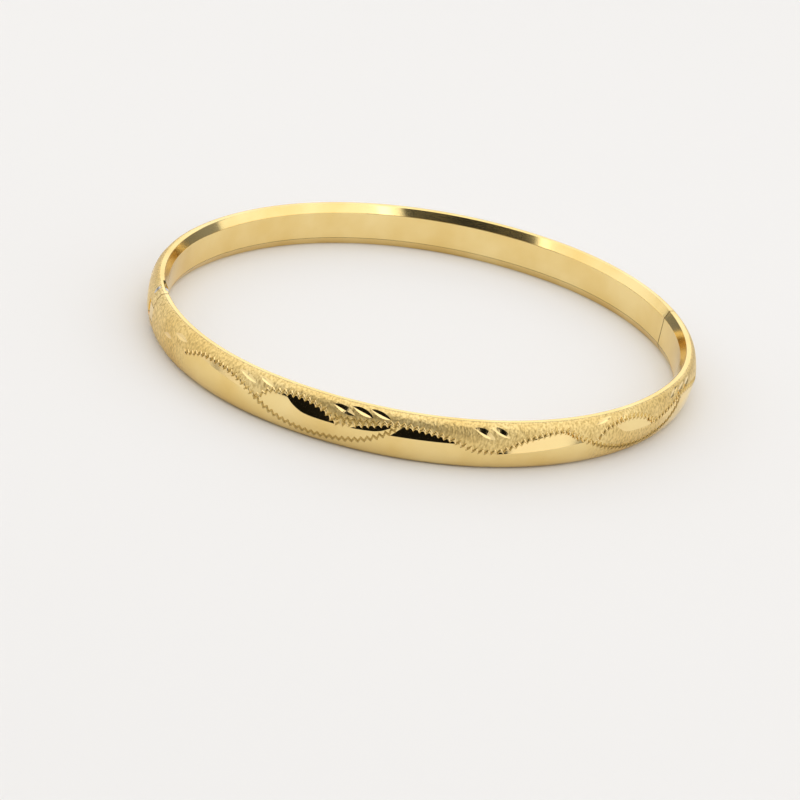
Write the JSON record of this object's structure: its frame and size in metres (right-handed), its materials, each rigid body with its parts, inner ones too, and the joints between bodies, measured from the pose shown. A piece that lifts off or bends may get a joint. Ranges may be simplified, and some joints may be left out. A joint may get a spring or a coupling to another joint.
{
  "type": "bangle bracelet",
  "caption": "Oval hinged bangle: two hollow D-section halves with an engraved dome outside, a flat lining inside, a hidden hinge and a sprung tongue-and-box clasp.",
  "frame": {"origin": "under the middle of the oval, on the surface the bangle lies on, on its side", "axes": "+Z along the axis of the wrist opening, +X towards the clasp and -X towards the hinge, +Y towards the plain back half"},
  "size_m": [0.0625, 0.056, 0.0052],
  "materials": {
    "engraved_gold": "satin ground with bright cuts",
    "polished_gold": "mirror polished",
    "plain_gold": "as filed",
    "spring_steel": "bright drawn"
  },
  "bodies": {
    "back_half": {"back_outer_shell": "engraved_gold", "back_inner_lining": "polished_gold", "hinge_bridge": "polished_gold", "hinge_block": "plain_gold", "hinge_pin": "spring_steel", "hinge_spring": "spring_steel", "clasp_box": "plain_gold"},
    "front_half": {"front_outer_shell": "engraved_gold", "front_inner_lining": "polished_gold", "front_hinge_cap": "plain_gold", "hinge_tongue": "polished_gold", "hinge_tongue_rivet": "spring_steel", "front_clasp_cap": "plain_gold", "clasp_lower_leaf": "plain_gold", "clasp_tongue_rivets": "spring_steel"},
    "clasp_spring": {"clasp_free_leaf": "plain_gold", "thumb_tab": "polished_gold"}
  },
  "joints": [
    {"name": "bangle_hinge", "type": "hinge", "parent": "back_half", "child": "front_half", "pos_m": [-0.03034, 0.00176, 0.0026], "axis": [0, 0, -1], "range_deg": [0, 50]},
    {"name": "clasp_press", "type": "hinge", "parent": "front_half", "child": "clasp_spring", "pos_m": [0.0298, 0.0041, 0.0026], "axis": [0, 0, -1], "range_deg": [0, 4.5], "stiffness_Nm_per_rad": 0.1}
  ]
}
